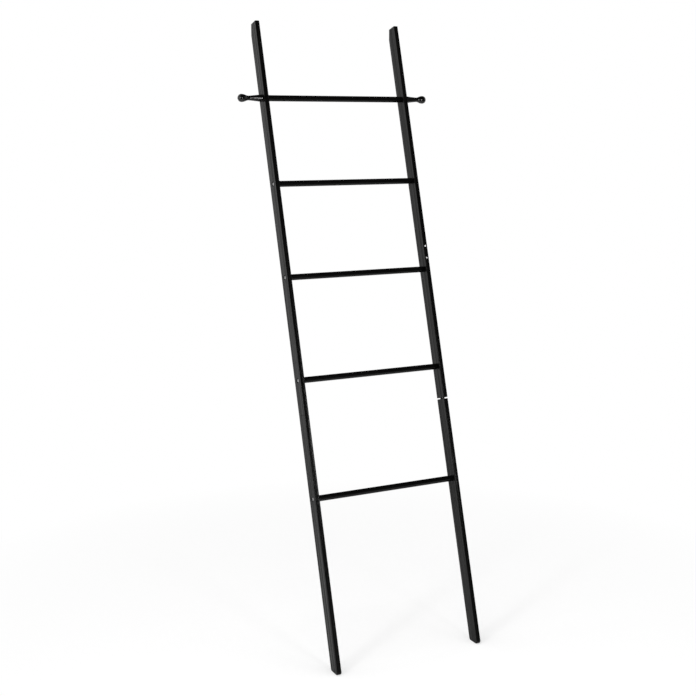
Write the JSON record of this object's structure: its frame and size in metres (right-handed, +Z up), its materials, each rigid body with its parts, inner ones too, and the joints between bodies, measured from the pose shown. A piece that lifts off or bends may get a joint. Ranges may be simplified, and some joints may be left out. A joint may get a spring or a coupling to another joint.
{
  "type": "blanket ladder",
  "caption": "Leaning ladder of flat boards and round rungs, each rail dowelled from two lengths, with a turned peg outside each rail, for hanging blankets, throws and clothes.",
  "frame": {"origin": "on the floor, at the middle of the box round the leaning ladder", "axes": "+X along the rungs towards the right rail as seen from the front, +Y towards the wall that the ladder leans on, +Z up"},
  "size_m": [0.6062, 0.5464, 1.7579],
  "materials": {
    "rail_wood": "solid board, black stain under satin lacquer, grain running along the board",
    "rung_wood": "round bar, black stain under satin lacquer, grain running along the rung",
    "peg_wood": "turned wood, black stain under satin lacquer",
    "dowel_wood": "plain dowel pin, stained black, unpolished",
    "screw_steel": "zinc plated, dull",
    "stud_steel": "zinc plated thread",
    "insert_metal": "plain zinc alloy",
    "face_screw_steel": "bright nickel plated"
  },
  "bodies": {
    "root": {"left_rail_lower": "rail_wood", "left_rail_upper": "rail_wood", "right_rail_lower": "rail_wood", "right_rail_upper": "rail_wood", "left_rail_front_dowel": "dowel_wood", "left_rail_back_dowel": "dowel_wood", "right_rail_front_dowel": "dowel_wood", "right_rail_back_dowel": "dowel_wood", "top_rung": "rung_wood", "top_rung_left_insert": "insert_metal", "top_rung_right_insert": "insert_metal", "second_rung": "rung_wood", "second_rung_left_insert": "insert_metal", "second_rung_left_screw": "screw_steel", "second_rung_right_insert": "insert_metal", "second_rung_right_screw": "screw_steel", "third_rung": "rung_wood", "third_rung_left_insert": "insert_metal", "third_rung_left_screw": "screw_steel", "third_rung_right_insert": "insert_metal", "third_rung_right_screw": "screw_steel", "fourth_rung": "rung_wood", "fourth_rung_left_insert": "insert_metal", "fourth_rung_left_screw": "screw_steel", "fourth_rung_right_insert": "insert_metal", "fourth_rung_right_screw": "screw_steel", "bottom_rung": "rung_wood", "bottom_rung_left_insert": "insert_metal", "bottom_rung_left_screw": "screw_steel", "bottom_rung_right_insert": "insert_metal", "bottom_rung_right_screw": "screw_steel", "left_peg": "peg_wood", "left_peg_stud": "stud_steel", "right_peg": "peg_wood", "right_peg_stud": "stud_steel", "right_rail_lower_face_screw": "face_screw_steel", "right_rail_upper_face_screw": "face_screw_steel"}
  },
  "joints": []
}
